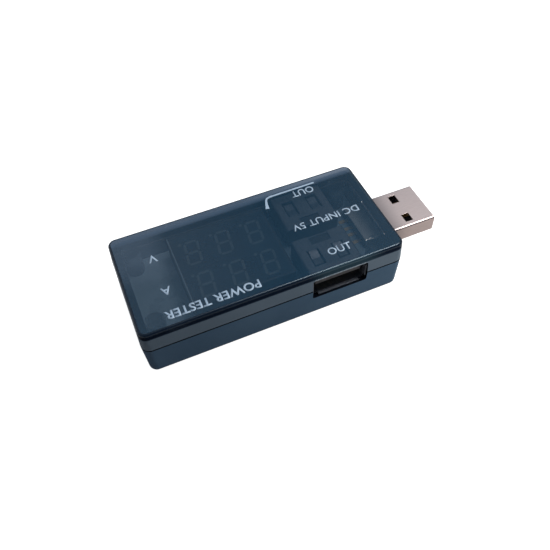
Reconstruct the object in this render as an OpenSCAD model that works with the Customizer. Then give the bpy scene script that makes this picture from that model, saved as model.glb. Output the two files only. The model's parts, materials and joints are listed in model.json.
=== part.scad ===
// USB power meter: a two-part case that holds a board with a plug, two ports and a
// two-row digit display. Origin at the middle of the whole length and width, on the
// surface it rests on. +X points to the plug, +Z up, and the front port faces -Y.

/* [Case] */
// Length of the case, without the plug
case_l = 61.5; // [61:0.5:66]
// Width of the case at the seam
case_w = 28.5; // [28.5:0.5:32]
// Height of the case
case_h = 15; // [15:0.5:17]
// Height of the seam between the two covers
seam_z = 9.5; // [9.5:0.1:9.8]
// Radius of the upright corners at the seam
corner_r = 2.1; // [2.1:0.1:3]
// Thickness of the case wall
wall = 1.5; // [1.3:0.1:1.5]
// How much narrower each side is at the top and at the bottom than at the seam
draft = 0.3; // [0.1:0.1:0.4]
// Radius of the top cover's upper edge
top_edge_r = 0.6; // [0.4:0.1:1.1]
// Radius of the bottom cover's lower edge
bottom_edge_r = 1.6; // [1:0.1:1.6]

/* [Plug] */
// Width of the plug shell
plug_w = 12; // [11.9:0.1:12.1]
// Height of the plug shell
plug_h = 4.5; // [4.4:0.1:4.6]
// Length of the plug outside the case
plug_out = 13.5; // [11.5:0.5:15]
// Height of the plug's underside
plug_z = 4.8; // [4.7:0.1:4.9]

/* [Ports] */
// Distance from the case's plug end to the middle of the front port
port_from_end = 16.15; // [16:0.1:17]
// How much nearer to the plug the back port is than the front one
back_port_shift = 0.7; // [0:0.1:0.8]
// Outer width of a port shell
port_w = 13.1; // [13:0.1:13.2]
// Outer height of a port shell
port_h = 5.7; // [5.6:0.1:5.8]
// Depth of a port shell
port_d = 12; // [11.8:0.1:12.2]

/* [Display] */
// Length of the display block
display_l = 23.6; // [22.5:0.1:24]
// Width of the display block
display_w = 20.6; // [20:0.1:21]
// Height of the display block above the board
display_h = 6.1; // [5.8:0.1:6.3]
// Height of a digit
digit_h = 7; // [6.5:0.1:7.2]
// Distance between neighbouring digits
digit_pitch = 7.4; // [7.2:0.1:7.6]
// Slant of the digits in degrees
digit_slant = 7; // [0:1:10]

/* [Hidden] */
$fn = 48;

// Case places
left_x = -(case_l + plug_out) / 2;
face_x = left_x + case_l;
case_x = left_x + case_l / 2;
side_x = case_l / 2 - corner_r;
side_y = case_w / 2 - corner_r;
ceiling_z = case_h - wall;
edge_steps = 6;
seam_bevel = 0.2;
tongue_t = 0.6;
tongue_h = 0.8;
tongue_gap = 0.1;

// Board and the posts that hold it
board_t = 1.6;
board_z = 5.4;
board_top = board_z + board_t;
board_gap = 0.35;
board_x0 = left_x + wall + 0.8;
board_x1 = face_x - wall - 0.3;
board_y = case_w / 2 - wall - board_gap;
board_corner_r = 1;
post_r = 2.1;
pin_r = 1;
pin_hole_r = 1.15;
pin_top = board_top + 2;
socket_r = 1.1;
socket_top = board_top + 3;
post_x = [left_x + 4.5, face_x - 5.4];
post_y = case_w / 2 - 4.25;
rib_x = [-24, 0];
rib_t = 1;
rib_half_w = 6;

// Sheet metal shared by the plug and the ports
metal = 0.3;
shell_corner_r = 0.6;
contact_x = [-3.5, -1, 1, 3.5];
contact_w = 0.9;
contact_t = 0.2;

// Plug
plug_x0 = face_x - 5.2;
plug_x1 = face_x + plug_out;
plug_mid_z = plug_z + plug_h / 2;
plug_hole_from_tip = 7.11;
plug_hole_l = 1.95;
plug_hole_w = 2.5;
plug_hole_y = 3.25;
tongue_top = board_top + 0.1;
plug_cavity_x = face_x + 0.8;
plug_contact_from_tip = [1.4, 2.4, 2.4, 1.4];
plug_tail_x = plug_x0 - 2.2;
plug_leg_x = face_x - 3.6;
plug_leg_w = 2;
plug_leg_y = plug_w / 2 + 1.3;
plug_leg_low = board_z - 0.8;
notch_gap = 0.15;

// Ports, in a frame with the mouth at y = 0, the board's top at z = 0 and +Y inwards
front_x = face_x - port_from_end;
back_x = front_x + back_port_shift;
mouth_recess = 0.55;
mouth_y = case_w / 2 - mouth_recess;
lip_d = 0.7;
lip_flare = 0.12;
opening_gap = 0.05;
opening_w = port_w + 2 * (lip_flare + opening_gap);
opening_h = port_h + 2 * (lip_flare + opening_gap);
leg_low = -2.6;
leg_w = 1.4;
leg_t = 0.26;
root = 0.05;
back_plate_w = port_w - metal;
leg_y = [4.2, 9.7];
slot_w = 0.7;
slot_l = 1.8;
spring_x = 3;
spring_w = 2;
spring_t = 0.25;
spring_y = 8.1;
spring_cut_w = 2.9;
spring_cut_y = 3.4;
spring_line = [[-4.1, 0.34], [-3.9, 0.34], [-2.2, 0.46], [-0.4, 0.03], [0, 0]];
root_gap = 0.05;
rear_notch_w = 4.9;
rear_notch_y = 9.4;
port_tongue_w = 11.2;
port_tongue_z = [2.92, 4.76];
port_tongue_y = 0.9;
port_block_y = [8.2, port_d - 0.4];
groove_w = 1.2;
groove_y = 1.3;
groove_z = 3.85;
hinge_y = 8;
hinge_z = 2.75;
beam_line = [[1.9, 3.15], [3.4, 2.35], [4.6, 2.6], [hinge_y, hinge_z]];
tail_y = 10.6;
tail_low = -2.4;
tail_hole_r = 0.6;

// Display
display_x = -12.7;
display_y = 0.3;
face_t = 0.3;
face_edge = 0.5;
digit_w = 3.6;
stroke = 0.62;
stroke_gap = 0.12;
row_y = [4.4, -5.1];
row_x = -12.6;
point_r = 0.4;
pin_pitch = 2.54;
pins_a_row = 6;
pin_row_y = 9;
display_pin_r = 0.25;
display_hole_r = 0.45;
display_pin_low = board_z - 1.2;

// Parts on the board's underside and near the plug
chip_lift = 0.1;
mcu = [7, 7, 1.4];
mcu_x = -13;
mcu_pins = 8;
mcu_pitch = 0.8;
amplifier = [4.9, 3.9, 1.5];
amplifier_at = [-29, 5];
amplifier_pins = 4;
amplifier_pitch = 1.27;
regulator = [4.5, 2.5, 1.5];
regulator_at = [-29, -5];
regulator_pitch = 1.5;
shunt = [6.4, 3.2, 0.6];
tantalum = [2.8, 3.5, 1.9];
tantalum_x = -20.5;
small_chip = [0.8, 1.6, 0.45];
cap_end = 0.3;
resistor_x = [for (i = [0:6]) -18 + 1.7 * i];
capacitor_x = [for (i = [0:3]) -17 + 2.6 * i];
chip_row_y = 6.6;
top_resistor_y = [-6.6, -3.2];
top_capacitor_y = 5.4;
top_chip_x = face_x - 8.1;

case_colour = [0.2, 0.25, 0.31, 0.75];
board_colour = [0.6, 0.7, 0.78];
steel_colour = [0.72, 0.7, 0.68];
gold_colour = [0.85, 0.68, 0.35];
black_colour = [0.06, 0.06, 0.07];
tin_colour = [0.78, 0.78, 0.77];

// Points on an arc round [x, y] from angle a to angle b
function arc(x, y, r, a, b, steps = edge_steps) =
    [for (i = [0:steps]) let (t = a + (b - a) * i / steps) [x + r * cos(t), y + r * sin(t)]];

// Outline of a rectangle with round corners, centred on the origin
function round_rect(w, h, r) = concat(
    arc(w / 2 - r, h / 2 - r, r, 0, 90),
    arc(r - w / 2, h / 2 - r, r, 90, 180),
    arc(r - w / 2, r - h / 2, r, 180, 270),
    arc(w / 2 - r, r - h / 2, r, 270, 360));

// Outline of a bent strip of thickness t that follows the points of a line
function strip(line, t) = concat(
    [for (p = line) [p[0], p[1] + t / 2]],
    [for (i = [len(line) - 1:-1:0]) [line[i][0], line[i][1] - t / 2]]);

// Section of the top cover's wall: x is the distance out from the corner centres
function top_section() = concat(
    [[corner_r - seam_bevel, seam_z], [corner_r, seam_z + seam_bevel]],
    arc(corner_r - draft - top_edge_r, case_h - top_edge_r, top_edge_r, 0, 90),
    [[0, case_h], [0, ceiling_z], [corner_r - draft - wall, ceiling_z]],
    [[corner_r - wall, seam_z + tongue_h + tongue_gap]],
    [[corner_r - wall + tongue_t + tongue_gap, seam_z + tongue_h + tongue_gap]],
    [[corner_r - wall + tongue_t + tongue_gap, seam_z]]);

// Section of the bottom cover's wall, with the tongue that locates the top cover
function bottom_section() = concat(
    arc(corner_r - draft - bottom_edge_r, bottom_edge_r, bottom_edge_r, -90, 0),
    [[corner_r, seam_z - seam_bevel], [corner_r - seam_bevel, seam_z]],
    [[corner_r - wall + tongue_t, seam_z], [corner_r - wall + tongue_t, seam_z + tongue_h]],
    [[corner_r - wall, seam_z + tongue_h], [corner_r - draft - wall, wall]],
    [[0, wall], [0, 0]]);

// Extrudes an outline drawn in y and z along X, centred
module along_x(l) {
    rotate([90, 0, 90]) translate([0, 0, -l / 2]) linear_extrude(l) children();
}

// Extrudes an outline drawn in x and z along Y, from y = 0
module along_y(l) {
    translate([0, l, 0]) rotate([90, 0, 0]) linear_extrude(l) children();
}

// Runs a wall section round the case: a straight length and a corner for each side
module sweep_case() {
    reach = [side_x, side_y, side_x, side_y];
    span = [side_y, side_x, side_y, side_x];
    for (i = [0:3]) rotate(90 * i) translate([reach[i], span[i], 0]) {
        rotate_extrude(angle = 90) children();
        rotate([90, 0, 0]) linear_extrude(2 * span[i]) children();
    }
}

// The flat middle of a cover
module case_plate(z) {
    translate([-side_x, -side_y, z]) cube([2 * side_x, 2 * side_y, wall]);
}

module at_posts() {
    for (x = post_x, y = [-post_y, post_y]) translate([x, y, 0]) children();
}

module at_front_port() {
    translate([front_x, -mouth_y, board_top]) children();
}

module at_back_port() {
    translate([back_x, mouth_y, board_top]) rotate(180) children();
}

// The opening in the case wall round a port's mouth
module port_opening() {
    translate([0, -2, port_h / 2]) along_y(wall + 3)
        polygon(round_rect(opening_w, opening_h, shell_corner_r));
}

module bottom_cover() color(case_colour) difference() {
    union() {
        translate([case_x, 0, 0]) sweep_case() polygon(bottom_section());
        translate([case_x, 0, 0]) case_plate(0);
        at_posts() translate([0, 0, wall / 2]) cylinder(r = post_r, h = board_z - wall / 2);
        at_posts() translate([0, 0, wall]) cylinder(r = pin_r, h = pin_top - wall);
        for (x = rib_x) translate([x - rib_t / 2, -rib_half_w, wall / 2])
            cube([rib_t, 2 * rib_half_w, board_z - wall / 2]);
    }
    at_front_port() port_opening();
    at_back_port() port_opening();
    translate([face_x - wall - 1, -plug_w / 2 - notch_gap, plug_z - notch_gap])
        cube([wall + 2, plug_w + 2 * notch_gap, case_h]);
}

module top_cover() color(case_colour) difference() {
    union() {
        translate([case_x, 0, 0]) sweep_case() polygon(top_section());
        translate([case_x, 0, 0]) case_plate(ceiling_z);
        at_posts() translate([0, 0, board_top]) cylinder(r = post_r, h = ceiling_z + wall / 2 - board_top);
    }
    at_posts() translate([0, 0, board_top - 1]) cylinder(r = socket_r, h = socket_top - board_top + 1);
    at_front_port() port_opening();
    at_back_port() port_opening();
}

// Holes in the board for one port's legs and tails
module port_board_holes() {
    for (x = [-1, 1], y = leg_y)
        translate([x * (port_w - metal) / 2 - slot_w / 2, y - slot_l / 2]) square([slot_w, slot_l]);
    for (x = contact_x) translate([x, tail_y + contact_t / 2]) circle(tail_hole_r);
}

module circuit_board() color(board_colour) translate([0, 0, board_z]) linear_extrude(board_t)
    difference() {
        translate([(board_x0 + board_x1) / 2, 0])
            polygon(round_rect(board_x1 - board_x0, 2 * board_y, board_corner_r));
        translate([plug_x0 - 0.3, -plug_w / 2 - 0.2]) square([board_x1, plug_w + 0.4]);
        for (x = post_x, y = [-post_y, post_y]) translate([x, y]) circle(pin_hole_r);
        for (y = [-1, 1]) translate([plug_leg_x - plug_leg_w / 2 - 0.2, y * (plug_leg_y + metal / 2) - 0.35])
            square([plug_leg_w + 0.4, 0.7]);
        translate([front_x, -mouth_y]) port_board_holes();
        translate([back_x, mouth_y]) rotate(180) port_board_holes();
        at_display_pins() circle(display_hole_r);
    }

module plug_shell() color(steel_colour) {
    hole_x = plug_x1 - plug_hole_from_tip;
    difference() {
        translate([(plug_x0 + plug_x1) / 2, 0, plug_mid_z]) along_x(plug_x1 - plug_x0) difference() {
            polygon(round_rect(plug_w, plug_h, shell_corner_r));
            polygon(round_rect(plug_w - 2 * metal, plug_h - 2 * metal, shell_corner_r - metal));
        }
        for (y = [-1, 1]) translate([hole_x, y * plug_hole_y - plug_hole_w / 2, 0])
            cube([plug_hole_l, plug_hole_w, case_h]);
    }
    for (side = [0, 1]) mirror([0, side, 0]) {
        translate([plug_leg_x - plug_leg_w / 2, plug_w / 2 - metal / 2, board_top])
            cube([plug_leg_w, plug_leg_y + metal * 1.5 - plug_w / 2, metal]);
        translate([plug_leg_x - plug_leg_w / 2, plug_leg_y, plug_leg_low])
            cube([plug_leg_w, metal, board_top - plug_leg_low + metal]);
    }
}

// The four contacts of the plug, or with a wider gap the grooves that they lie in
module plug_contact_strips() {
    for (i = [0:3]) translate([plug_tail_x, contact_x[i] - contact_w / 2, board_top])
        cube([plug_x1 - plug_contact_from_tip[i] - plug_tail_x, contact_w, contact_t]);
}

module plug_insulator() color(black_colour) difference() {
    fit = 0.04;
    back = 0.1;
    front = 0.3;
    l = plug_x1 - front - plug_x0 - back;
    inner_w = plug_w - 2 * (metal + fit);
    inner_h = plug_h - 2 * (metal + fit);
    translate([plug_x0 + back + l / 2, 0, plug_mid_z]) along_x(l)
        polygon(round_rect(inner_w, inner_h, shell_corner_r - metal));
    translate([plug_cavity_x, -plug_w / 2, tongue_top]) cube([plug_out, plug_w, plug_h]);
    plug_contact_strips();
}

module plug_contacts() color(gold_colour) plug_contact_strips();

// One sprung finger of a port shell, from its root at the origin towards the mouth
module spring_finger() {
    along_x(spring_w) polygon(strip(spring_line, spring_t));
}

module port_shell() {
    difference() {
        translate([0, lip_d, port_h / 2]) along_y(port_d - lip_d) difference() {
            polygon(round_rect(port_w, port_h, shell_corner_r));
            polygon(round_rect(port_w - 2 * metal, port_h - 2 * metal, shell_corner_r - metal));
        }
        for (x = [-spring_x, spring_x]) translate([x - spring_cut_w / 2, spring_cut_y, -1])
            cube([spring_cut_w, spring_y + root_gap - spring_cut_y, port_h + 2]);
        translate([-rear_notch_w / 2, rear_notch_y, port_h / 2]) cube([rear_notch_w, port_d, port_h]);
        translate([-port_w / 2 + 1, tail_y - 0.6, -1]) cube([port_w - 2, port_d, 1 + metal * 1.5]);
    }
    translate([-back_plate_w / 2, port_d - metal - root, 0.8]) cube([back_plate_w, metal, port_h - 1]);
    for (x = [-1, 1], y = leg_y)
        translate([x * (port_w - metal) / 2 - leg_t / 2, y - leg_w / 2, leg_low])
            cube([leg_t, leg_w, 1 - leg_low]);
    translate([0, 0, port_h - metal]) mouth_lip(port_w - 3);
    translate([0, 0, metal]) rotate([0, 180, 0]) mouth_lip(port_w - 3);
    for (side = [0, 1]) mirror([side, 0, 0])
        translate([port_w / 2 - metal, 0, port_h / 2]) rotate([0, 90, 0]) mouth_lip(port_h - 2);
}

// The flared edge of a port's mouth, along X, rooted in the thickness of the shell
module mouth_lip(l) {
    along_x(l) polygon([[lip_d + 2 * root, root / 2], [lip_d + 2 * root, metal - root / 2],
        [0, metal + lip_flare], [0, lip_flare]]);
}

// The fixed part of the contacts: through the insulator and down through the board
module port_tails() {
    for (x = contact_x) translate([x - contact_w / 2, 0, 0]) {
        translate([0, hinge_y + root_gap, hinge_z - contact_t / 2])
            cube([contact_w, tail_y + contact_t - hinge_y - root_gap, contact_t]);
        translate([0, tail_y, tail_low])
            cube([contact_w, contact_t, hinge_z + contact_t / 2 - tail_low]);
    }
}

module port_insulator() {
    block_w = port_w - 2 * metal - 0.3;
    difference() {
        union() {
            translate([-block_w / 2, port_block_y[0], metal + 0.05])
                cube([block_w, port_block_y[1] - port_block_y[0], port_h - 2 * metal - 0.1]);
            translate([-port_tongue_w / 2, port_tongue_y, port_tongue_z[0]])
                cube([port_tongue_w, port_block_y[0] + 1 - port_tongue_y, port_tongue_z[1] - port_tongue_z[0]]);
        }
        for (x = contact_x) translate([x - groove_w / 2, groove_y, 0])
            cube([groove_w, port_block_y[0] - groove_y, groove_z]);
        port_tails();
    }
}

// The sprung beams of the contacts, which a plug presses up into the tongue
module port_beams() {
    for (x = contact_x) translate([x, 0, 0]) along_x(contact_w) polygon(strip(beam_line, contact_t));
}

module port_top_springs() {
    for (x = [-spring_x, spring_x]) translate([x, spring_y, port_h - metal / 2])
        mirror([0, 0, 1]) spring_finger();
}

module port_bottom_springs() {
    for (x = [-spring_x, spring_x]) translate([x, spring_y, metal / 2]) spring_finger();
}

module front_port_shell() color(steel_colour) at_front_port() port_shell();
module front_port_insulator() color(black_colour) at_front_port() port_insulator();
module front_port_tails() color(tin_colour) at_front_port() port_tails();
module front_port_contacts() color(gold_colour) at_front_port() port_beams();
module front_port_top_springs() color(steel_colour) at_front_port() port_top_springs();
module front_port_bottom_springs() color(steel_colour) at_front_port() port_bottom_springs();
module back_port_shell() color(steel_colour) at_back_port() port_shell();
module back_port_insulator() color(black_colour) at_back_port() port_insulator();
module back_port_tails() color(tin_colour) at_back_port() port_tails();
module back_port_contacts() color(gold_colour) at_back_port() port_beams();
module back_port_top_springs() color(steel_colour) at_back_port() port_top_springs();
module back_port_bottom_springs() color(steel_colour) at_back_port() port_bottom_springs();

// Places a digit: x to the right and y up, as read from the back of the case
module at_digits(y) {
    for (i = [-1:1]) translate([row_x + i * digit_pitch, y]) rotate(180) children();
}

// Leans a point over by the digits' slant
function lean(p) = [p[0] + p[1] * tan(digit_slant), p[1]];

// Outline of a segment between two points, pointed at both ends
function segment(a, b) = let (
        d = (b - a) / norm(b - a),
        side = [-d[1], d[0]] * stroke / 2,
        in = d * stroke / 2,
        p = a + d * stroke_gap,
        q = b - d * stroke_gap
    ) [for (c = [p, p + in + side, q - in + side, q, q - in - side, p + in - side]) lean(c)];

// The seven segments and the point of one digit
module digit() {
    w = (digit_w - stroke) / 2;
    h = (digit_h - stroke) / 2;
    ends = [[[-w, h], [w, h]], [[-w, 0], [w, 0]], [[-w, -h], [w, -h]],
            [[-w, 0], [-w, h]], [[w, 0], [w, h]], [[-w, -h], [-w, 0]], [[w, -h], [w, 0]]];
    for (e = ends) polygon(segment(e[0], e[1]));
    translate(lean([w + 1.1, -h])) circle(point_r);
}

module at_display_pins() {
    for (i = [0:pins_a_row - 1], y = [-pin_row_y, pin_row_y])
        translate([display_x + (i - (pins_a_row - 1) / 2) * pin_pitch, y + display_y]) children();
}

module display_housing() color(black_colour)
    translate([display_x, display_y, board_top]) difference() {
        linear_extrude(display_h) polygon(round_rect(display_l, display_w, 0.3));
        translate([0, 0, display_h - face_t]) linear_extrude(1)
            polygon(round_rect(display_l - 2 * face_edge, display_w - 2 * face_edge, 0.2));
    }

module display_face() color([0.1, 0.13, 0.16])
    translate([0, 0, board_top + display_h - face_t]) linear_extrude(face_t) difference() {
        translate([display_x, display_y])
            polygon(round_rect(display_l - 2 * face_edge, display_w - 2 * face_edge, 0.2));
        for (y = row_y) at_digits(y) digit();
    }

module digit_row(y) {
    translate([0, 0, board_top + display_h - face_t]) linear_extrude(face_t) at_digits(y) digit();
}

module volt_segments() color([0.3, 0.33, 0.36]) digit_row(row_y[0]);
module amp_segments() color([0.3, 0.33, 0.36]) digit_row(row_y[1]);

module display_pins() color(tin_colour) translate([0, 0, display_pin_low])
    at_display_pins() cylinder(r = display_pin_r, h = board_top - display_pin_low);

// Turns a part over, from standing on the board's top to hanging under it
module under_board(at = [0, 0]) {
    translate([at[0], at[1], board_z]) rotate([180, 0, 0]) children();
}

// A moulded chip body with a dimple at its first pin
module chip_body(size) {
    difference() {
        translate([-size[0] / 2, -size[1] / 2, chip_lift]) cube([size[0], size[1], size[2] - chip_lift]);
        translate([0.8 - size[0] / 2, 0.8 - size[1] / 2, size[2] - 0.15]) cylinder(r = 0.3, h = 1);
    }
}

// Gull-wing leads along both sides of a chip that is w wide across them
module gull_leads(w, pins, pitch, lead_w) {
    out = [[0, 0.7], [0.45, 0.7], [0.65, 0.08], [1.15, 0.08]];
    for (side = [0, 180], i = [0:pins - 1])
        rotate(side) translate([(i - (pins - 1) / 2) * pitch, w / 2, 0])
            along_x(lead_w) polygon(strip(out, 0.15));
}

module microcontroller() color(black_colour) under_board([mcu_x, 0]) chip_body(mcu);
module microcontroller_leads() color(tin_colour) under_board([mcu_x, 0])
    for (turn = [0, 90]) rotate(turn) gull_leads(mcu[0], mcu_pins, mcu_pitch, 0.35);

module current_amplifier() color(black_colour) under_board(amplifier_at) chip_body(amplifier);
module amplifier_leads() color(tin_colour) under_board(amplifier_at)
    gull_leads(amplifier[1], amplifier_pins, amplifier_pitch, 0.45);

module voltage_regulator() color(black_colour) under_board(regulator_at) chip_body(regulator);
module regulator_leads() color(tin_colour) under_board(regulator_at) {
    for (i = [-1:1]) translate([i * regulator_pitch - 0.25, -regulator[1] / 2 - 0.9, 0])
        cube([0.5, 0.9, 0.4]);
    translate([-0.9, regulator[1] / 2, 0]) cube([1.8, 0.7, 0.4]);
}

// The body between a chip's two end caps, lying along Y
module chip_middle(size) {
    translate([-size[0] / 2, cap_end - size[1] / 2, 0]) cube([size[0], size[1] - 2 * cap_end, size[2]]);
}

module chip_ends(size) {
    for (y = [-size[1] / 2, size[1] / 2 - cap_end]) translate([-size[0] / 2, y, 0])
        cube([size[0], cap_end, size[2]]);
}

module at_chip_resistors() {
    for (x = resistor_x) under_board([x, chip_row_y]) children();
    for (y = top_resistor_y) translate([top_chip_x, y, board_top]) children();
}

module at_chip_capacitors() {
    for (x = capacitor_x) under_board([x, -chip_row_y]) children();
    translate([top_chip_x, top_capacitor_y, board_top]) children();
}

module at_shunt() {
    under_board([front_x, 0]) rotate(90) children();
}

module shunt_resistor() color(black_colour) at_shunt() chip_middle([shunt[1], shunt[0], shunt[2]]);
module shunt_terminals() color(tin_colour) at_shunt() chip_ends([shunt[1], shunt[0], shunt[2]]);
module tantalum_capacitor() color([0.75, 0.6, 0.15]) under_board([tantalum_x, 0]) chip_middle(tantalum);
module tantalum_terminals() color(tin_colour) under_board([tantalum_x, 0]) chip_ends(tantalum);
module chip_resistors() color(black_colour) at_chip_resistors() chip_middle(small_chip);
module chip_capacitors() color([0.62, 0.5, 0.36]) at_chip_capacitors() chip_middle(small_chip);
module chip_terminals() color(tin_colour) {
    at_chip_resistors() chip_ends(small_chip);
    at_chip_capacitors() chip_ends(small_chip);
}

bottom_cover();
top_cover();
circuit_board();
plug_shell();
plug_insulator();
plug_contacts();
front_port_shell();
front_port_insulator();
front_port_tails();
front_port_contacts();
front_port_top_springs();
front_port_bottom_springs();
back_port_shell();
back_port_insulator();
back_port_tails();
back_port_contacts();
back_port_top_springs();
back_port_bottom_springs();
display_housing();
display_face();
volt_segments();
amp_segments();
display_pins();
microcontroller();
microcontroller_leads();
current_amplifier();
amplifier_leads();
voltage_regulator();
regulator_leads();
shunt_resistor();
shunt_terminals();
tantalum_capacitor();
tantalum_terminals();
chip_resistors();
chip_capacitors();
chip_terminals();
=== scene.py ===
import json
import math

import bmesh
import bpy
from mathutils import Matrix, Vector

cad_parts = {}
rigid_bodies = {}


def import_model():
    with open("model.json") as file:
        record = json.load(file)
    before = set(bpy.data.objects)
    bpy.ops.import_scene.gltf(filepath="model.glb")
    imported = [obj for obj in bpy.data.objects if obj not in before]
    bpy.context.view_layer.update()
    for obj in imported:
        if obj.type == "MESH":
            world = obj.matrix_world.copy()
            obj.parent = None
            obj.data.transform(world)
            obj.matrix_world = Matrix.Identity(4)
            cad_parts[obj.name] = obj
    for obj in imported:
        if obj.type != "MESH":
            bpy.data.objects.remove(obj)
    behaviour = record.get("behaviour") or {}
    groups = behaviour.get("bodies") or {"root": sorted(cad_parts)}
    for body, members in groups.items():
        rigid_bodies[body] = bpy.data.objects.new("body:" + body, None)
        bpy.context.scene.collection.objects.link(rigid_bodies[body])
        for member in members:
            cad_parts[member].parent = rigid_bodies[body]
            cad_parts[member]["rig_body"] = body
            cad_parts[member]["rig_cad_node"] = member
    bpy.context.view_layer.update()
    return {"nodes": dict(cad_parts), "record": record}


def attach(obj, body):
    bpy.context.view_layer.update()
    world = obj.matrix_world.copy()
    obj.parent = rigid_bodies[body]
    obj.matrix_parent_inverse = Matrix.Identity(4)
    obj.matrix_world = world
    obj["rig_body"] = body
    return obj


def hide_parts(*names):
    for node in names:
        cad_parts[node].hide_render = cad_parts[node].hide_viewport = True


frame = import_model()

MM = 0.001
NODES = frame["nodes"]

# The camera in the row frame: place, its axes to the right and down in the picture, and lens
CAMERA_AT = Vector((-0.034239, -0.081930, 0.116133))
CAMERA_RIGHT = Vector((0.91931, -0.39284, -0.02335))
CAMERA_DOWN = Vector((-0.32594, -0.72682, -0.60456))
CAMERA_LENS = 38.96
CAMERA_SENSOR = 36

# Places in millimetres that repeat the part's own sizes: the case's middle, the centres of its
# corner curves, its edges, how far its faces reach out from those centres, its seam and posts,
# the ports and the display
CASE_X = -6.75
CORNER_X = 28.65
CORNER_Y = 12.15
CASE_TOP = 15.0
TOP_EDGE_Z = 14.35
# Where the painted dark shade on the upper wall ends
DARK_EDGE_Z = 13.15
BOTTOM_EDGE_Z = 1.65
OUTER_REACH = 1.65
FOOT_REACH = 0.8
WALL_REACH = 1.0
SEAM_Z = 9.5
SEAM_BEVEL = 0.21
POST_X = (-33.0, 18.6)
POST_Y = 10.0
POST_REACH = 2.2
PORT_X = (7.85, 8.55)
PORT_HALF = 6.3
DISPLAY_LEFT = -24.5
DISPLAY_Y = (-9.9, 10.5)
DISPLAY_TOP = 13.1

# Where the painted light and shade change, in millimetres: the painted pale band along the back,
# the painted light at the left corner, the painted reflection of the ports on the dark edge, the
# ends of the painted dark edge, and the plug's painted shade and its inner stretch
RIM_Y = (10.9, 11.7)
RIM_BRIGHT_Y = (12.0, 12.8)
RIM_X = (-5.0, 15.0)
LEFT_X = (-29.5, -24.5)
LEFT_Y = (-3.0, 5.0)
PORT_REFLECTION_START_X = (0.0, 4.0)
PORT_REFLECTION_END_X = (14.0, 19.0)
DARK_FADE_Z = (DARK_EDGE_Z - 0.05, DARK_EDGE_Z + 0.3)
GLINT_Z = (TOP_EDGE_Z - 0.1, TOP_EDGE_Z + 0.2)
PLUG_SHADE_X = (23.0, 31.5)
INSIDE_X = (22.7, 23.7)

# The size in millimetres of the patches of tone on plastic and on metal, and the strength of
# the painted reflection of the ports on the dark edge
PATCH = 9
METAL_PATCH = 1.2
PORT_REFLECTION = 0.8

# The added shapes and the floor, in millimetres
LIP_Y = 14.05
LIP_Z = 12.87
PRINT_LIFT = 0.012
PRINT_THICKNESS = 0.02
PRINT_WELD = 0.0002
FLOOR_GAP = 0.05
FLOOR_SIZE = 3000

# The small light's place in metres, and the directions in which both lights shine
FILL_AT = (0.085, -0.075, 0.042)
FILL_AIM = (-0.62, 0.7, -0.35)
OVERHEAD_AIM = (-0.38, 0.0, -0.92)

# Where the light from around changes, as parts of a direction: two along x, and one along y
SKY_LEFT = (0.05, 0.25)
SKY_RIGHT = (0.28, 0.42)
SKY_BACK = (-0.9, 0.5)

# How a cover's faces are merged and told apart: tolerance in millimetres, angles, and the
# parts of a face's normal that point outwards or up
WELD = 0.0005
CUT = 0.0001
FLAT_ANGLE = math.radians(0.2)
SMOOTH_ANGLE = math.radians(30)
BEVEL_ANGLE = math.radians(35)
FACING = 0.3
RISING = 0.02
LEVEL = 0.999
SINKING = -0.1

# Lettering: how far each stroke is thickened, in the font's own unit
REGULAR = 0.012
BOLD = 0.022

# Each printed word's piece, text, centre, width, height, turn in degrees and weight
WORDS = (
    ("print_volts", "V", (-29.0, 4.7), 2.0, 2.1, 180, REGULAR),
    ("print_amps", "A", (-28.8, -4.9), 2.1, 2.1, 180, REGULAR),
    ("print_front_out", "OUT", (9.6, -9.4), 5.6, 2.0, 0, REGULAR),
    ("print_back_out", "OUT", (9.5, 9.9), 5.6, 2.0, 180, REGULAR),
    ("print_middle", "DC INPUT 5V", (10.9, 0.0), 16.5, 1.9, 180, REGULAR),
    ("print_edge", "POWER TESTER", (-20.4, -11.0), 21.0, 2.2, 180, BOLD),
)

# The printed bracket beside the back port, as x, y and width
BRACKET = ((-0.2, 8.1, 0.9), (0.1, 9.4, 0.6), (0.5, 10.7, 0.45),
           (0.9, 11.25, 0.45), (1.7, 11.5, 0.45), (13.3, 11.6, 0.4))

# Nodes whose moulded or folded edges are rounded, and by how much, in millimetres
SOFT_EDGES = {"plug_shell": 0.06, "display_housing": 0.12, "microcontroller": 0.1,
              "current_amplifier": 0.08, "voltage_regulator": 0.08, "tantalum_capacitor": 0.1,
              "plug_insulator": 0.05, "front_port_insulator": 0.06, "back_port_insulator": 0.06}


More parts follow.
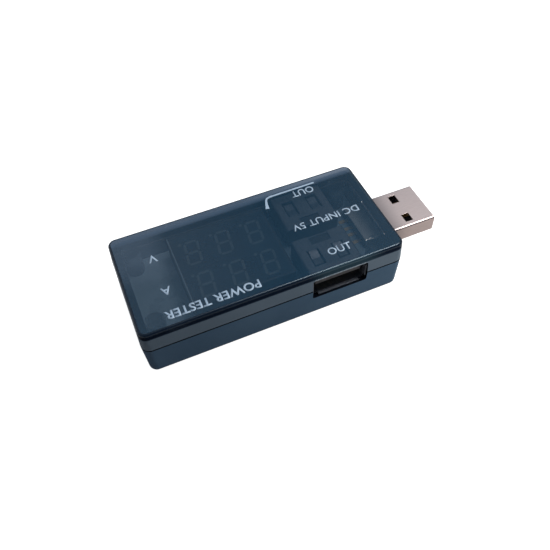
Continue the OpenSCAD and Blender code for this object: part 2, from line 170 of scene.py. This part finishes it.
# ---------------------------------------------------------------- nodes and materials
class Nodes:
    """A small helper that adds and joins shader nodes."""

    def __init__(self, tree):
        self.tree = tree

    def add(self, kind, inputs=None, **settings):
        """A node with its inputs, each a value or another node's socket, and its settings."""
        node = self.tree.nodes.new(kind)
        for key, value in settings.items():
            setattr(node, key, value)
        for key, value in (inputs or {}).items():
            if isinstance(value, bpy.types.NodeSocket):
                self.tree.links.new(value, node.inputs[key])
            else:
                node.inputs[key].default_value = value
        return node

    def place(self, stretch=(1, 1, 1)):
        """The object's own coordinates, in metres."""
        where = self.add("ShaderNodeTexCoord").outputs["Object"]
        return self.add("ShaderNodeMapping", {"Vector": where, "Scale": stretch}).outputs["Vector"]

    def axes(self):
        """The object's own x, y and z, as separate outputs."""
        return self.add("ShaderNodeSeparateXYZ", {"Vector": self.place()}).outputs

    def noise(self, where, size_mm, detail=3.0):
        """Noise from 0 to 1 with features of about size_mm."""
        inputs = {"Vector": where, "Scale": 1 / (size_mm * MM), "Detail": detail,
                  "Roughness": 0.55}
        return self.add("ShaderNodeTexNoise", inputs).outputs["Fac"]

    def spread(self, value, low, high, start=0.3, end=0.7, **settings):
        """Goes from low to high as value goes from start to end, and stops there."""
        inputs = {"Value": value, "From Min": start, "From Max": end,
                  "To Min": low, "To Max": high}
        return self.add("ShaderNodeMapRange", inputs, **settings).outputs["Result"]

    def ramp(self, value, low, high, span_mm, **settings):
        """Goes from low to high over a span of millimetres."""
        return self.spread(value, low, high, span_mm[0] * MM, span_mm[1] * MM, **settings)

    def combine(self, operation, a, b):
        """One of the Math node's operations on two values."""
        return self.add("ShaderNodeMath", {0: a, 1: b}, operation=operation).outputs[0]

    def mix(self, fac, a, b):
        """Colour a where fac is 0, and colour b where it is 1.

        The Mix node keeps its colours in inputs 6 and 7, and in output 2.
        """
        node = self.add("ShaderNodeMix", data_type="RGBA")
        self.tree.links.new(fac, node.inputs["Factor"])
        for index, colour in ((6, a), (7, b)):
            if isinstance(colour, bpy.types.NodeSocket):
                self.tree.links.new(colour, node.inputs[index])
            else:
                node.inputs[index].default_value = (*colour, 1)
        return node.outputs[2]

    def bump(self, height, depth_mm):
        """A relief that is depth_mm deep."""
        inputs = {"Height": height, "Distance": depth_mm * MM, "Strength": 1.0}
        return self.add("ShaderNodeBump", inputs).outputs["Normal"]


def blank(name):
    """A new material, its node helper and its Principled node."""
    made = bpy.data.materials.new(name)
    made.use_nodes = True
    return made, Nodes(made.node_tree), made.node_tree.nodes["Principled BSDF"]


def wire(nodes, shader, **inputs):
    """Sets or links the shader's inputs; an underscore in a name stands for a space."""
    for key, value in inputs.items():
        socket = shader.inputs[key.replace("_", " ")]
        if isinstance(value, bpy.types.NodeSocket):
            nodes.tree.links.new(value, socket)
        else:
            socket.default_value = (*value, 1) if isinstance(value, tuple) else value


def textured(name, dark, light, rough, patch_mm, grain_mm, depth_mm, stretch=(1, 1, 1), **inputs):
    """A material that varies between two colours and two roughnesses, over a fine relief."""
    made, n, shader = blank(name)
    where = n.place(stretch)
    patch = n.noise(where, patch_mm)
    grain = n.noise(where, grain_mm, detail=2)
    wire(n, shader, Base_Color=n.mix(n.spread(patch, 0, 1), dark, light),
         Roughness=n.spread(patch, rough[1], rough[0]),
         Normal=n.bump(grain, depth_mm), **inputs)
    return made


def smoky(name, dark, light, alpha, rough, grain_mm, depth_mm, ior):
    """The case's dark plastic, see-through where alpha is below 1."""
    return textured(name, dark, light, rough, PATCH, grain_mm, depth_mm, Alpha=alpha, IOR=ior)


def smoky_gloss(dark, light):
    """The cover's polished top, with painted light: a pale band along its back wall, a pale patch
    at its back left corner.
    """
    made, n, shader = blank("smoky_gloss")
    axes = n.axes()
    patch = n.noise(n.place(), PATCH)
    plain = n.mix(n.spread(patch, 0, 1), dark, light)
    # Painted light: the back left corner is coloured paler, where the board below lies brighter
    left = n.ramp(axes["X"], 1, 0, LEFT_X)
    back = n.ramp(axes["Y"], 0, 1, LEFT_Y)
    inside = n.mix(n.combine("MINIMUM", left, back), plain, (0.036, 0.064, 0.100))
    # Painted light: a pale band along the back wall, brighter towards the outside and to the right
    outer = n.ramp(axes["Y"], 0, 1, RIM_BRIGHT_Y)
    right = n.ramp(axes["X"], 0, 1, RIM_X)
    rim = n.mix(n.combine("MINIMUM", outer, right), (0.05, 0.085, 0.135), (0.13, 0.17, 0.23))
    wire(n, shader, Base_Color=n.mix(n.ramp(axes["Y"], 0, 1, RIM_Y), inside, rim),
         Roughness=n.spread(patch, 0.12, 0.06), Alpha=0.62, IOR=1.5,
         Normal=n.bump(n.noise(n.place(), 1.6, detail=2), 0.003))
    return made


def smoky_edge(dark, light):
    """The plastic's upper edge: painted near-black shade, a painted teal reflection over the
    ports, fading into the side below.
    """
    made, n, shader = blank("smoky_edge")
    axes = n.axes()
    patch = n.noise(n.place(), PATCH)
    # Painted reflection: the dark edge turns teal over the ports, where their shells show
    near = n.ramp(axes["X"], 0, PORT_REFLECTION, PORT_REFLECTION_START_X)
    far = n.ramp(axes["X"], PORT_REFLECTION, 0, PORT_REFLECTION_END_X)
    # Painted shade: the rounded edge and the top of the wall are coloured near black
    black = n.mix(patch, dark, (0.002, 0.005, 0.012))
    deep = n.mix(n.combine("MINIMUM", near, far), black, (0.012, 0.026, 0.036))
    fade = n.ramp(axes["Z"], 0, 1, DARK_FADE_Z)
    wire(n, shader, Base_Color=n.mix(fade, light, deep), Specular_Tint=(0.62, 0.78, 0.90),
         Roughness=n.spread(patch, 0.20, 0.25), Alpha=0.97,
         IOR=n.ramp(axes["Z"], 1.05, 1.41, GLINT_Z), Normal=n.bump(patch, 0.002))
    return made


def metal(name, dark, light, rough, stretch, grain_mm, depth_mm):
    """Plated metal with a fine drawn grain."""
    return textured(name, dark, light, rough, METAL_PATCH, grain_mm, depth_mm, stretch,
                    Metallic=1.0)


def plug_steel(dark, light):
    """Nickel-plated steel, darker by painted shade where the case shades it."""
    made, n, shader = blank("nickel_plate")
    along = n.axes()["X"]
    drawn = n.place((1, 6, 6))
    patch = n.noise(drawn, METAL_PATCH)
    bright = n.mix(n.spread(patch, 0, 1), dark, light)
    # Painted shade: the plug is coloured darker near the case
    out = n.ramp(along, 0, 1, PLUG_SHADE_X, interpolation_type="SMOOTHSTEP")
    shaded = n.mix(out, (0.15, 0.13, 0.13), bright)
    inside = n.ramp(along, 1, 0, INSIDE_X)
    wire(n, shader, Base_Color=n.mix(inside, shaded, (0.44, 0.42, 0.40)), Metallic=1.0,
         Roughness=n.spread(patch, 0.38, 0.32),
         Normal=n.bump(n.noise(drawn, 0.5, detail=2), 0.001))
    return made


def board_material():
    """Pale solder mask over the faint weave of fibreglass."""
    made, n, shader = blank("solder_mask")
    where = n.place()
    inputs = {"Vector": where, "Scale": 900.0, "Distortion": 1.5, "Detail": 2.0}
    weave = n.add("ShaderNodeTexWave", inputs, wave_type="BANDS").outputs["Fac"]
    patch = n.noise(where, 4)
    tone = n.mix(n.spread(patch, 0, 1), (0.155, 0.21, 0.255), (0.19, 0.255, 0.31))
    wire(n, shader, Base_Color=tone, Roughness=n.spread(patch, 0.24, 0.36),
         Normal=n.bump(weave, 0.004))
    return made


# The case's plastics: name, dark and light colour, alpha, roughness, grain and its depth in
# millimetres, and index of refraction
CLEAR = ((0.006, 0.026, 0.050), (0.008, 0.031, 0.058))
SATIN = ((0.038, 0.056, 0.076), (0.044, 0.064, 0.087))
LOW_SATIN = ((0.023, 0.046, 0.076), (0.027, 0.052, 0.084))
PLASTICS = (
    ("smoky_satin", *SATIN, 1.0, (0.40, 0.48), 0.06, 0.0015, 1.25),
    ("smoky_satin_low", *LOW_SATIN, 1.0, (0.40, 0.48), 0.06, 0.0015, 1.12),
    ("smoky_inner", *CLEAR, 0.1, (0.45, 0.55), 0.3, 0.004, 1.3),
    ("smoky_post", (0.09, 0.13, 0.17), (0.11, 0.15, 0.20), 0.6, (0.2, 0.3), 0.3, 0.004, 1.5),
    # The lip's pale colour is a painted highlight on the opening's edge
    ("smoky_lip", (0.105, 0.135, 0.160), (0.12, 0.15, 0.18), 0.98, (0.25, 0.35), 0.3, 0.002, 1.3),
    ("smoky_seam", (0.001, 0.002, 0.004), (0.002, 0.003, 0.006), 0.98, (0.5, 0.6), 0.1, 0.002,
     1.1),
)

# The metals: slot, name, dark and light colour, roughness, stretch, grain and its depth in
# millimetres
METALS = (
    # The ports' steel is coloured far darker than the plug's: painted shade inside the case
    ("port_steel", "port_plate", (0.11, 0.12, 0.14), (0.15, 0.16, 0.18), (0.48, 0.58),
     (6, 1, 6), 0.5, 0.001),
    # The gold is coloured darker than bright gold: painted shade in the plug's holes
    ("gold_contact", "gold_plate", (0.46, 0.32, 0.15), (0.60, 0.43, 0.22), (0.3, 0.4),
     (5, 1, 1), 0.4, 0.002),
    ("tinned_metal", "tin_plate", (0.58, 0.58, 0.57), (0.74, 0.74, 0.73), (0.25, 0.45),
     (1, 1, 1), 0.2, 0.01),
)

# The other materials: slot, name, dark and light colour, roughness, and patch, grain and the
# grain's depth in millimetres
TEXTURES = (
    ("black_plastic", "moulded_black", (0.008, 0.008, 0.010), (0.016, 0.016, 0.018),
     (0.42, 0.6), 2.5, 0.12, 0.008),
    ("display_black", "display_body", (0.008, 0.010, 0.014), (0.014, 0.017, 0.022),
     (0.45, 0.6), 3, 0.15, 0.01),
    # The display's pale edge: partly the resin's own paler edge, partly a painted highlight
    ("display_edge", "display_rim", (0.13, 0.17, 0.20), (0.17, 0.21, 0.25),
     (0.35, 0.5), 3, 0.15, 0.006),
    ("display_film", "display_mask", (0.006, 0.012, 0.02), (0.008, 0.015, 0.025),
     (0.25, 0.35), 5, 0.5, 0.002),
    ("segment_resin", "unlit_resin", (0.048, 0.064, 0.072), (0.062, 0.080, 0.088),
     (0.35, 0.5), 1, 0.2, 0.004),
    ("chip_black", "chip_epoxy", (0.012, 0.012, 0.013), (0.022, 0.022, 0.024),
     (0.55, 0.7), 1.5, 0.08, 0.01),
    ("resistor_black", "resistor_glass", (0.012, 0.012, 0.014), (0.02, 0.02, 0.022),
     (0.18, 0.3), 0.6, 0.2, 0.004),
    ("capacitor_tan", "fired_tan", (0.28, 0.19, 0.10), (0.36, 0.25, 0.14),
     (0.4, 0.55), 0.6, 0.1, 0.006),
    ("tantalum_yellow", "tantalum_epoxy", (0.5, 0.33, 0.03), (0.6, 0.42, 0.05),
     (0.4, 0.5), 1, 0.1, 0.006),
    ("pale_print", "pale_ink", (0.21, 0.27, 0.34), (0.25, 0.32, 0.40),
     (0.45, 0.6), 0.8, 0.1, 0.004),
)


def make_materials():
    """Every material, by the name of its slot or skin."""
    made = {
        "smoky_gloss": smoky_gloss(*CLEAR),
        "smoky_edge": smoky_edge((0.001, 0.003, 0.008), SATIN[0]),
        "nickel_steel": plug_steel((0.49, 0.395, 0.37), (0.54, 0.44, 0.415)),
        "board_white": board_material(),
    }
    for name, *look in PLASTICS:
        made[name] = smoky(name, *look)
    for slot, *look in METALS:
        made[slot] = metal(*look)
    for slot, *look in TEXTURES:
        made[slot] = textured(*look)
    return made


# ---------------------------------------------------------------- meshes
def link(obj):
    """Puts a new object in the scene."""
    bpy.context.scene.collection.objects.link(obj)
    return obj


def new_piece(name, mesh_maker, material):
    """A new piece of the main body whose mesh mesh_maker fills, in metres."""
    mesh = bpy.data.meshes.new(name)
    bm = bmesh.new()
    mesh_maker(bm)
    bmesh.ops.recalc_face_normals(bm, faces=bm.faces)
    bm.to_mesh(mesh)
    bm.free()
    mesh.materials.append(material)
    piece = link(bpy.data.objects.new(name, mesh))
    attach(piece, "root")


# The covers' skins, in the order of their material slots
SKINS = ("smoky_gloss", "smoky_satin", "smoky_inner", "smoky_edge", "smoky_post", "smoky_seam")


def cover_part(face):
    """The skin that a cover's face gets, by how far out it lies and which way it faces."""
    c = face.calc_center_median() / MM
    past = Vector((max(0.0, abs(c.x - CASE_X) - CORNER_X), max(0.0, abs(c.y) - CORNER_Y)))
    outwards = Vector((math.copysign(past.x, c.x - CASE_X), math.copysign(past.y, c.y)))
    reach = outwards.length
    facing = face.normal.xy.dot(outwards) / reach if reach > 0 else 0.0
    if c.z > TOP_EDGE_Z and (face.normal.z > RISING or facing > FACING):
        return "smoky_gloss" if face.normal.z > LEVEL else "smoky_edge"
    if reach > OUTER_REACH and facing > FACING:
        if abs(c.z - SEAM_Z) < SEAM_BEVEL:
            return "smoky_seam"
        return "smoky_edge" if c.z > DARK_EDGE_Z else "smoky_satin"
    foot = face.normal.z < SINKING or (facing > FACING and reach > FOOT_REACH)
    if c.z < BOTTOM_EDGE_Z and foot:
        return "smoky_satin"
    if reach > WALL_REACH and abs(facing) < FACING:
        return "smoky_seam"
    posts = [Vector((c.x - x, abs(c.y) - POST_Y)).length for x in POST_X]
    return "smoky_post" if min(posts) < POST_REACH and c.z > BOTTOM_EDGE_Z else "smoky_inner"


def skin_faces(bm):
    """Merges flat faces, cuts the wall where its dark edge ends, and gives each face its skin."""
    bmesh.ops.remove_doubles(bm, verts=bm.verts, dist=WELD * MM)
    bmesh.ops.dissolve_limit(bm, angle_limit=FLAT_ANGLE, verts=bm.verts, edges=bm.edges)
    bmesh.ops.bisect_plane(bm, geom=[*bm.verts, *bm.edges, *bm.faces], dist=CUT * MM,
                           plane_co=(0, 0, DARK_EDGE_Z * MM), plane_no=(0, 0, 1))
    bm.normal_update()
    for face in bm.faces:
        face.material_index = SKINS.index(cover_part(face))
        face.smooth = True
    for edge in bm.edges:
        if len(edge.link_faces) == 2:
            edge.smooth = edge.calc_face_angle(0) < SMOOTH_ANGLE


def bare_copy(node, name):
    """A copy of a CAD node, without its normals, sharp marks and kit keys."""
    piece = NODES[node].copy()
    piece.data = NODES[node].data.copy()
    piece.name = name
    for attribute in ("custom_normal", "sharp_edge", "sharp_face"):
        if attribute in piece.data.attributes:
            piece.data.attributes.remove(piece.data.attributes[attribute])
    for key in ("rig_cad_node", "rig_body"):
        if key in piece:
            del piece[key]
    return link(piece)


def skinned_cover(node, name, satin, materials):
    """A cover with the CAD's shape, and a skin for each of its glossy, satin and inner faces."""
    piece = bare_copy(node, name)
    piece.data.materials.clear()
    for key in SKINS:
        piece.data.materials.append(materials[satin if key == "smoky_satin" else key])
    bm = bmesh.new()
    bm.from_mesh(piece.data)
    skin_faces(bm)
    bm.to_mesh(piece.data)
    bm.free()
    even = piece.modifiers.new("even_shading", "WEIGHTED_NORMAL")
    even.keep_sharp = True
    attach(piece, "root")
    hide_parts(node)


def soften(node, width):
    """Rounds a node's sharp edges, width millimetres wide."""
    weld = node.modifiers.new("weld", "WELD")
    weld.merge_threshold = WELD * MM
    bevel = node.modifiers.new("soft_edges", "BEVEL")
    bevel.width = width * MM
    bevel.segments = 2
    bevel.limit_method = "ANGLE"
    bevel.angle_limit = BEVEL_ANGLE


def dress_nodes(materials):
    """Gives every CAD node that stays its material and, where moulded or folded, soft edges."""
    for entry in frame["record"]["subparts"]:
        name = entry["node"]
        node = NODES[name]
        if node.hide_render:
            continue
        for slot in node.material_slots:
            slot.material = materials[entry["material_slot"]]
        if name in SOFT_EDGES:
            soften(node, SOFT_EDGES[name])


# ---------------------------------------------------------------- printing
def text_mesh(name, words, weight):
    """Flat lettering in the built-in font."""
    data = bpy.data.curves.new(name, "FONT")
    data.body = words
    data.align_x = "CENTER"
    data.align_y = "CENTER"
    data.offset = weight
    data.resolution_u = 3
    text = link(bpy.data.objects.new(name + "_curve", data))
    bpy.context.view_layer.update()
    made = text.evaluated_get(bpy.context.evaluated_depsgraph_get())
    mesh = bpy.data.meshes.new_from_object(made)
    bpy.data.objects.remove(text)
    return mesh


def lay_out(mesh, centre, width, height, turn):
    """Scales lettering to width by height mm, turns it and lays it on the top cover."""
    xs = [v.co.x for v in mesh.vertices]
    ys = [v.co.y for v in mesh.vertices]
    middle = Vector(((min(xs) + max(xs)) / 2, (min(ys) + max(ys)) / 2, 0))
    stretch = (width * MM / (max(xs) - min(xs)), height * MM / (max(ys) - min(ys)), 1, 1)
    place = Matrix.Translation(Vector((*centre, CASE_TOP + PRINT_LIFT)) * MM)
    mesh.transform(place @ Matrix.Rotation(math.radians(turn), 4, "Z")
                   @ Matrix.Diagonal(stretch) @ Matrix.Translation(-middle))


def printed_text(name, words, centre, width, height, turn, weight, material):
    """Thin raised lettering on the top cover."""
    flat = text_mesh(name, words, weight)
    lay_out(flat, centre, width, height, turn)

    def fill(bm):
        bm.from_mesh(flat)
        thicken(bm)
    new_piece(name, fill, material)
    bpy.data.meshes.remove(flat)


def thicken(bm):
    """Makes flat faces in the XY plane into a closed layer of ink."""
    bmesh.ops.remove_doubles(bm, verts=bm.verts, dist=PRINT_WELD * MM)
    made = bmesh.ops.extrude_face_region(bm, geom=list(bm.faces))
    raised = [v for v in made["geom"] if isinstance(v, bmesh.types.BMVert)]
    bmesh.ops.translate(bm, verts=raised, vec=(0, 0, PRINT_THICKNESS * MM))
    bmesh.ops.recalc_face_normals(bm, faces=bm.faces)


def printed_line(name, points, material):
    """A thin printed line through (x, y, width) points, in millimetres."""
    def fill(bm):
        left, right = [], []
        for i, (x, y, w) in enumerate(points):
            before = Vector(points[max(i - 1, 0)][:2])
            after = Vector(points[min(i + 1, len(points) - 1)][:2])
            side = (after - before).normalized().orthogonal() * w / 2
            for row, sign in ((left, 1), (right, -1)):
                row.append(bm.verts.new(((x + sign * side.x) * MM, (y + sign * side.y) * MM,
                                         (CASE_TOP + PRINT_LIFT) * MM)))
        for i in range(len(points) - 1):
            bm.faces.new((left[i], left[i + 1], right[i + 1], right[i]))
        thicken(bm)
    new_piece(name, fill, material)


def make_printing(material):
    """Generic lettering where the cover is printed: units, ports, and what the part is."""
    for name, *details in WORDS:
        printed_text(name, *details, material)
    printed_line("print_bracket", BRACKET, material)


def bar(bm, profile, ends):
    """A closed bar: ends gives the two end points, and profile the offsets round each of them."""
    rings = [[bm.verts.new((Vector(end) + Vector(offset)) * MM) for offset in profile]
             for end in ends]
    for i in range(len(profile)):
        j = (i + 1) % len(profile)
        bm.faces.new((rings[0][i], rings[0][j], rings[1][j], rings[1][i]))
    for ring in rings:
        bm.faces.new(ring)


def make_edges(materials):
    """Thin pale strips: painted highlights over each port's opening, and the display's left edge,
    partly its own paler resin and partly a painted highlight.
    """
    # The lips are pale strips whose colour is a painted highlight
    lip = ((-0.03, 0.0), (0.03, 0.04), (0.02, 0.24), (-0.05, 0.26))
    for name, side, x in (("front_port_lip", -1, PORT_X[0]), ("back_port_lip", 1, PORT_X[1])):
        profile = [(0, side * y, z) for y, z in lip]
        ends = [(x + end, side * LIP_Y, LIP_Z) for end in (-PORT_HALF, PORT_HALF)]
        new_piece(name, lambda bm, p=profile, e=ends: bar(bm, p, e), materials["smoky_lip"])
    # The display's left edge: partly its own paler resin, partly a painted highlight
    rim = ((-0.02, 0, -0.3), (-0.02, 0, 0.0), (0.08, 0, 0.06), (0.26, 0, 0.03), (0.3, 0, -0.02))
    ends = [(DISPLAY_LEFT, y, DISPLAY_TOP) for y in DISPLAY_Y]
    new_piece("display_left_edge", lambda bm: bar(bm, rim, ends), materials["display_edge"])


# ---------------------------------------------------------------- stage
def make_camera():
    """The camera at the place, turn and lens given above."""
    data = bpy.data.cameras.new("camera")
    data.lens = CAMERA_LENS
    data.sensor_width = CAMERA_SENSOR
    data.clip_start = MM
    camera = link(bpy.data.objects.new("camera", data))
    turn = Matrix((CAMERA_RIGHT, -CAMERA_DOWN, -CAMERA_RIGHT.cross(CAMERA_DOWN))).transposed()
    camera.matrix_world = Matrix.Translation(CAMERA_AT) @ turn.to_4x4()
    bpy.context.scene.camera = camera


def make_floor():
    """A pale floor that the camera sees brighter than the object's reflections do."""
    mesh = bpy.data.meshes.new("floor")
    bm = bmesh.new()
    bmesh.ops.create_grid(bm, x_segments=8, y_segments=8, size=FLOOR_SIZE * MM)
    bm.to_mesh(mesh)
    bm.free()
    made, n, shader = blank("pale_floor")
    where = n.place()
    seen = n.add("ShaderNodeLightPath").outputs["Is Camera Ray"]
    tone = n.mix(n.noise(where, 40), (0.38, 0.38, 0.38), (0.40, 0.40, 0.40))
    wire(n, shader, Base_Color=n.mix(seen, (0.34, 0.34, 0.34), tone), Roughness=0.9,
         Emission_Color=n.mix(seen, (0.05, 0.05, 0.05), (0.90, 0.90, 0.90)), Emission_Strength=1.0)
    shader.inputs["Specular IOR Level"].default_value = 0.0
    mesh.materials.append(made)
    floor = link(bpy.data.objects.new("floor", mesh))
    floor.location.z = -FLOOR_GAP * MM


def make_world():
    """Soft light, brighter behind the object, with a darker gap in the middle of the back."""
    world = bpy.data.worlds.new("studio")
    bpy.context.scene.world = world
    world.use_nodes = True
    n = Nodes(world.node_tree)
    back = world.node_tree.nodes["Background"]
    where = n.add("ShaderNodeTexCoord").outputs["Generated"]
    axes = n.add("ShaderNodeSeparateXYZ", {"Vector": where}).outputs
    left = n.spread(axes["X"], 1, 0, *SKY_LEFT)
    right = n.spread(axes["X"], 0, 0.8, *SKY_RIGHT)
    behind = n.mix(n.combine("MAXIMUM", left, right), (0.18, 0.25, 0.32), (0.68, 0.76, 0.84))
    soft = n.mix(n.spread(axes["Y"], 0, 1, *SKY_BACK), (0.09, 0.12, 0.16), behind)
    seen = n.add("ShaderNodeLightPath").outputs["Is Camera Ray"]
    world.node_tree.links.new(n.mix(seen, soft, (0.97, 0.97, 0.97)), back.inputs["Color"])
    back.inputs["Strength"].default_value = 1.0


def make_light(name, kind, aim, energy, **settings):
    """A light that shines along aim."""
    data = bpy.data.lights.new(name, kind)
    data.energy = energy
    for key, value in settings.items():
        setattr(data, key, value)
    light = link(bpy.data.objects.new(name, data))
    light.rotation_euler = Vector(aim).to_track_quat("-Z", "Y").to_euler()
    return light


def make_lights():
    """A broad light from above, and a small one on the front and the plug."""
    make_light("overhead", "SUN", OVERHEAD_AIM, 2.8, angle=math.radians(24))
    fill = make_light("fill", "AREA", FILL_AIM, 0.15, shape="DISK", size=0.05)
    fill.data.color = (1.0, 0.93, 0.85)
    fill.location = FILL_AT
    fill.visible_glossy = False


# ---------------------------------------------------------------- making
make_camera()
MATERIALS = make_materials()
skinned_cover("top_cover", "top_shell", "smoky_satin", MATERIALS)
skinned_cover("bottom_cover", "bottom_shell", "smoky_satin_low", MATERIALS)
dress_nodes(MATERIALS)
make_printing(MATERIALS["pale_print"])
make_edges(MATERIALS)
make_floor()
make_world()
make_lights()
bpy.context.scene.view_settings.view_transform = "Standard"
